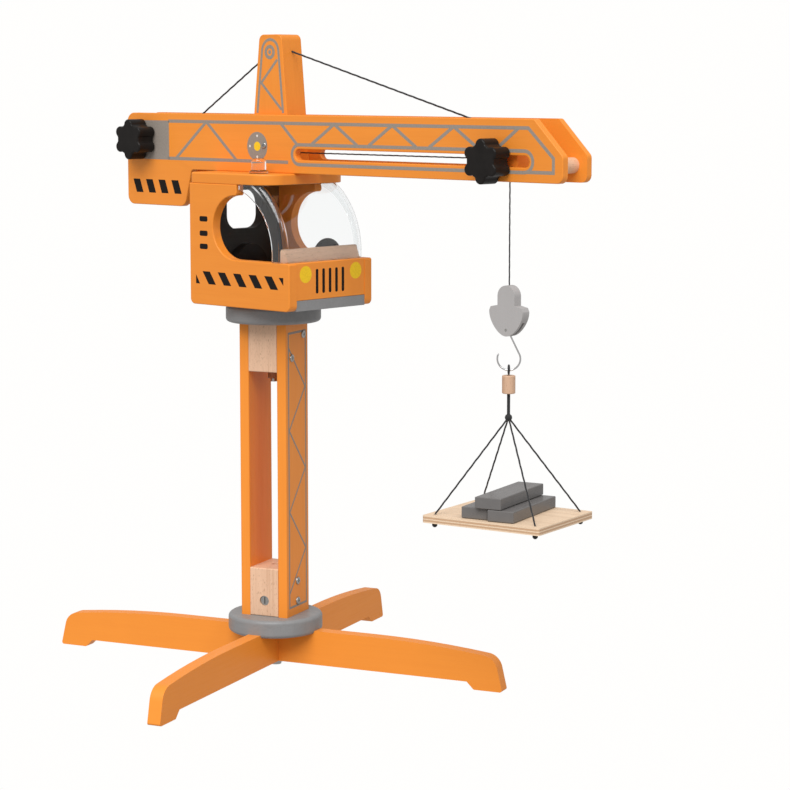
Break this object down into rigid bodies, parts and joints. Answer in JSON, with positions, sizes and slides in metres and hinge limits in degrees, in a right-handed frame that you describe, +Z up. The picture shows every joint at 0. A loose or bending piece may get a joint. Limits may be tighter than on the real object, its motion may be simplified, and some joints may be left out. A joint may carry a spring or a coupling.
{
  "type": "toy tower crane",
  "caption": "Wooden toy tower crane with a crossed base, plank tower, turning cab and jib, knob winch, sliding trolley, hook and a hanging pallet of planks.",
  "frame": {"origin": "on the floor, on the vertical slewing axis at the middle of the crossed base", "axes": "+Z up along the tower, +X along the jib towards its nose, the two winding knobs on the -Y side"},
  "size_m": [0.5467, 0.4202, 0.559],
  "materials": {
    "orange_wood": "satin painted",
    "grey_wood": "satin painted",
    "dark_wood": "matt painted",
    "grey_plank": "satin painted",
    "beech": "sanded bare wood",
    "maroon_wood": "satin painted",
    "plywood": "sanded bare wood",
    "black_plastic": "gloss moulded",
    "clear_plastic": "clear polished",
    "white_nylon": "matt moulded",
    "steel": "zinc plated",
    "chrome": "polished",
    "black_cord": "twisted cord"
  },
  "bodies": {
    "base": {"leg_lower": "orange_wood", "leg_upper": "orange_wood", "lower_disc": "grey_wood", "tower_board_left": "orange_wood", "tower_board_right": "orange_wood", "tower_foot_block": "beech", "tower_head_block": "beech", "tower_screws": "steel", "upper_disc": "grey_wood", "slew_bolt": "steel", "slew_nut": "steel", "glide_washer": "white_nylon", "base_bolt": "steel", "barrel_nut": "steel"},
    "upper_works": {"cab_floor": "grey_wood", "cab_side_near": "orange_wood", "cab_side_far": "orange_wood", "cab_front_panel": "orange_wood", "cab_rear_wall": "dark_wood", "roof": "orange_wood", "windshield": "clear_plastic", "dashboard": "beech", "seat": "black_plastic", "beacon": "clear_plastic", "steering_column": "black_plastic", "jib_board_near": "orange_wood", "jib_board_far": "orange_wood", "mast": "orange_wood", "counterweight_block": "orange_wood", "nose_dowel": "beech", "stay_pins": "beech", "stay_rope_front": "black_cord", "stay_rope_rear": "black_cord", "jib_screws": "steel", "hoist_run": "black_cord"},
    "steering_wheel": {"steering_wheel": "black_plastic"},
    "winch": {"winch_knob": "black_plastic", "winch_axle": "beech", "winch_drum": "beech", "winch_cap": "black_plastic"},
    "trolley": {"trolley_block": "maroon_wood", "hoist_fall": "black_cord"},
    "trolley_knob": {"trolley_knob": "black_plastic", "trolley_axle": "beech", "trolley_cap": "black_plastic"},
    "hook_block": {"hook_block": "grey_wood", "hook_pin": "steel"},
    "hook": {"hook": "chrome", "sling_loop": "black_cord"},
    "load": {"sling_bead": "beech", "sling_knot": "black_cord", "sling_leg_1": "black_cord", "sling_leg_2": "black_cord", "sling_leg_3": "black_cord", "sling_leg_4": "black_cord", "pallet": "plywood", "pallet_knots": "black_cord"},
    "plank_left": {"plank_left": "grey_plank"},
    "plank_right": {"plank_right": "grey_plank"},
    "plank_top": {"plank_top": "grey_plank"}
  },
  "joints": [
    {"name": "slew", "type": "hinge", "parent": "base", "child": "upper_works", "pos_m": [0, 0, 0.3268], "axis": [0, 0, 1], "continuous": true},
    {"name": "steering", "type": "hinge", "parent": "upper_works", "child": "steering_wheel", "pos_m": [0.0459, 0.02, 0.3672], "axis": [1, 0, 0], "continuous": true},
    {"name": "trolley_travel", "type": "slide", "parent": "upper_works", "child": "trolley", "axis": [1, 0, 0], "range_m": [-0.132, 0.029], "deforming": ["hoist_run"]},
    {"name": "trolley_knob_turn", "type": "hinge", "parent": "trolley", "child": "trolley_knob", "pos_m": [0.2686, 0, 0.4573], "axis": [0, 1, 0], "continuous": true},
    {"name": "hoist", "type": "slide", "parent": "trolley", "child": "hook_block", "axis": [0, 0, 1], "range_m": [-0.112, 0.075], "deforming": ["hoist_fall"]},
    {"name": "winch_turn", "type": "hinge", "parent": "upper_works", "child": "winch", "pos_m": [-0.147, 0, 0.467], "axis": [0, 1, 0], "range_deg": [-745, 505]},
    {"name": "hook_swing", "type": "hinge", "parent": "hook_block", "child": "hook", "pos_m": [0.2686, 0, 0.3218], "axis": [0, 1, 0], "range_deg": [-8, 8]},
    {"name": "load_turn", "type": "hinge", "parent": "hook", "child": "load", "pos_m": [0.2686, 0, 0.285], "axis": [0, 0, 1], "continuous": true},
    {"name": "plank_left_slide", "type": "slide", "parent": "load", "child": "plank_left", "axis": [0.2554, -0.9668, 0], "range_m": [0, 0.035]},
    {"name": "plank_right_slide", "type": "slide", "parent": "load", "child": "plank_right", "axis": [0.2554, -0.9668, 0], "range_m": [0, 0.035]},
    {"name": "plank_top_slide", "type": "slide", "parent": "load", "child": "plank_top", "axis": [0.2554, -0.9668, 0], "range_m": [0, 0.035]}
  ],
  "couplings": [
    {"joint": "winch_turn", "follows": "hoist", "rad_per_m": 115.61}
  ]
}
